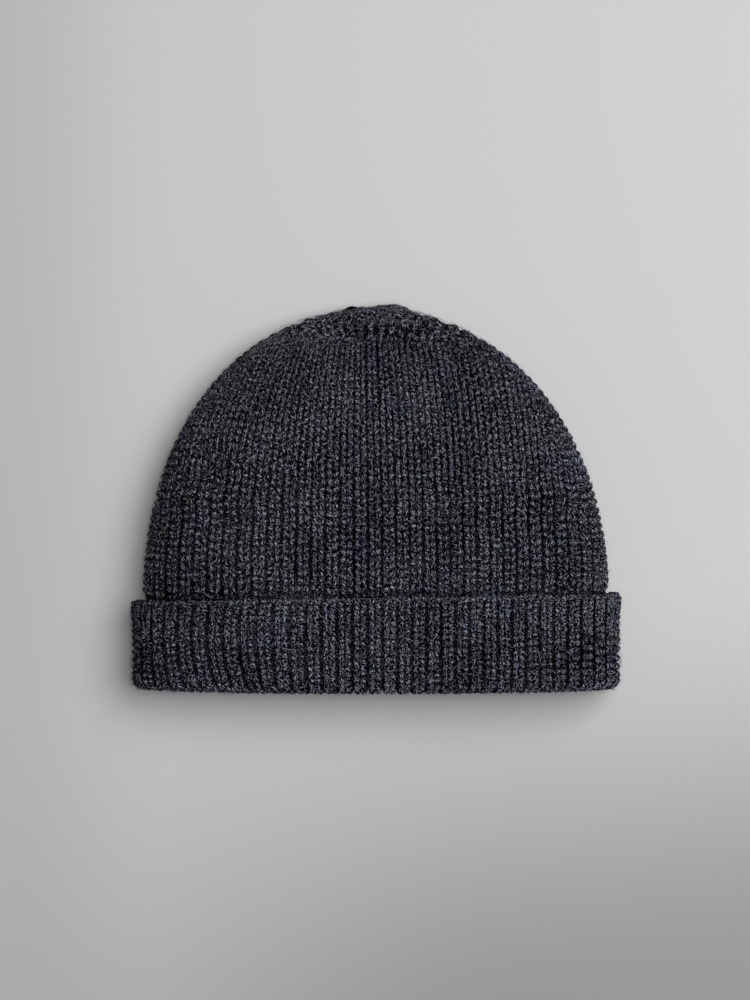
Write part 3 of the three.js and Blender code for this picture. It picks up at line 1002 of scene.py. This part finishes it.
crown = crownSkin()
cuff = cuffSkin()
bendCuff = cuffBend(cuff)
crownWool = woolFinish("crownWool", True, 0.70, 0.90)
cuffWool = woolFinish("cuffWool", True, 0.80, 1.00)
innerWool = woolFinish("innerWool", False)
fuzzWool = fuzzFinish()

dress(crownShell(crown), innerWool, "crown")
dress(cuffShell(cuff, bendCuff), innerWool, "cuff")
print("shells made")

# The crown's rows start just inside the cuff, and draw together near the tip
rimAlong = cap["cuffHeight"] - cap["foldDepth"]
crownRows = [rimAlong - 2.5 * stitch["crownPitch"]]
while crownRows[-1] < crown.along[-1]:
    nearTop = smooth(crownRows[-1] / crown.along[-1], stitch["topFrom"], 1)
    pitch = stitch["crownPitch"] + (stitch["topPitch"] - stitch["crownPitch"]) * nearTop
    crownRows.append(crownRows[-1] + pitch)
crownLegs = stitchLegs(crown, np.array(crownRows), 1, 0, crownDrops)
dressStitches("crownStitches", crownLegs, 15 * mm, crownWool)

# The cuff's rows are counted down from its finished edge
cuffRows = np.arange(cuff.along[-1] - 1.9 * mm, 1.5 * mm, -stitch["cuffPitch"])
cuffLegs = stitchLegs(cuff, cuffRows, -1, 0.5 * mm, cuffDrops, bendCuff)
dressStitches("cuffStitches", cuffLegs, 21 * mm, cuffWool)
dress(yarnPiece("cuffEdge", edgeLinks(cuff, bendCuff)), crownWool)
print("stitches made")

crownHairs = hairs(crown, fuzz["crownHairs"], rimAlong, 0.99 * crown.along[-1])
dress(yarnPiece("crownFuzz", crownHairs, fuzz["sides"]), fuzzWool)
cuffHairs = hairs(cuff, fuzz["cuffHairs"], 8 * mm, cuff.along[-1] - 1 * mm)
dress(yarnPiece("cuffFuzz", cuffHairs, fuzz["sides"]), fuzzWool)
print("loose hairs made")

# The studio: a pale floor with painted shade, one large soft light from the upper right and a weaker one
# from above
studio = dict(
    floorSize=6.0,
    floor=(0.503, 0.503, 0.503, 1),
    shade=0.45,                # painted shade: how much darker the floor is at its darkest corner
    shadeBelow=(-0.06, -0.28),  # it darkens from the first y to the second
    shadeTilt=0.18,            # which rise this much with x
    shadeBeside=(-0.30, 0.08),  # and from the first x to the second
    paintedLeftShade=0.13,            # and this much painted shade towards its left edge
    leftFrom=(-0.10, -0.19),
    cameraPlace=(-0.5 * mm, -0.75 * mm, 1.9),
    frameHeight=0.5,           # of what the camera sees
    frameLevel=20 * mm,        # at this level
    sensorHeight=36,
    keyPlace=(0.66, 0.31, 1.43),
    keySize=1.25,
    keyPower=26.5,
    fillPlace=(0.04, 0.04, 2.2),
    fillSize=0.4,
    fillPower=9.5,
    ambient=0.17,
)


# A flat square with painted shade: darker by smooth fades towards its lower right corner and its left side
def makeFloor():
    half = studio["floorSize"] / 2
    corners = np.array([[-half, -half, 0], [half, -half, 0], [half, half, 0], [-half, half, 0]])
    floor = makeMesh("floor", corners, np.array([[0, 1, 2, 3]]))
    finish = Finish("paleFloor")
    x, y, _ = finish.parts(finish.node("ShaderNodeTexCoord").outputs["Object"])
    below = finish.fade(y - studio["shadeTilt"] * x, studio["shadeBelow"])
    corner = below * finish.fade(x, studio["shadeBeside"])
    left = finish.fade(x, studio["leftFrom"])
    tone = (1.0 - studio["shade"] * corner) * (1.0 - studio["paintedLeftShade"] * left)
    finish.feed(finish.shader.inputs["Base Color"], finish.colour(1.0, studio["floor"], tone, "MULTIPLY"))
    finish.shader.inputs["Roughness"].default_value = 0.9
    floor.data.materials.append(finish.material)


# A square lamp that faces the cap
def makeLight(name, place, size, power):
    light = bpy.data.objects.new(name, bpy.data.lights.new(name, "AREA"))
    light.data.shape, light.data.size, light.data.energy = "SQUARE", size, power
    light.location = place
    light.rotation_euler = (-light.location).to_track_quat("-Z", "Y").to_euler()
    bpy.context.scene.collection.objects.link(light)


def makeCamera():
    camera = bpy.data.objects.new("camera", bpy.data.cameras.new("camera"))
    camera.location = studio["cameraPlace"]
    camera.data.sensor_fit = "VERTICAL"
    camera.data.sensor_height = studio["sensorHeight"]
    distance = studio["cameraPlace"][2] - studio["frameLevel"]
    camera.data.lens = studio["sensorHeight"] * distance / studio["frameHeight"]
    bpy.context.scene.collection.objects.link(camera)
    bpy.context.scene.camera = camera


makeFloor()
makeLight("key", studio["keyPlace"], studio["keySize"], studio["keyPower"])
makeLight("fill", studio["fillPlace"], studio["fillSize"], studio["fillPower"])
makeCamera()
world = bpy.data.worlds.new("room")
world.use_nodes = True
world.node_tree.nodes["Background"].inputs[0].default_value = (1, 1, 1, 1)
world.node_tree.nodes["Background"].inputs[1].default_value = studio["ambient"]
bpy.context.scene.world = world
bpy.context.scene.view_settings.view_transform = "Standard"
print("studio made")
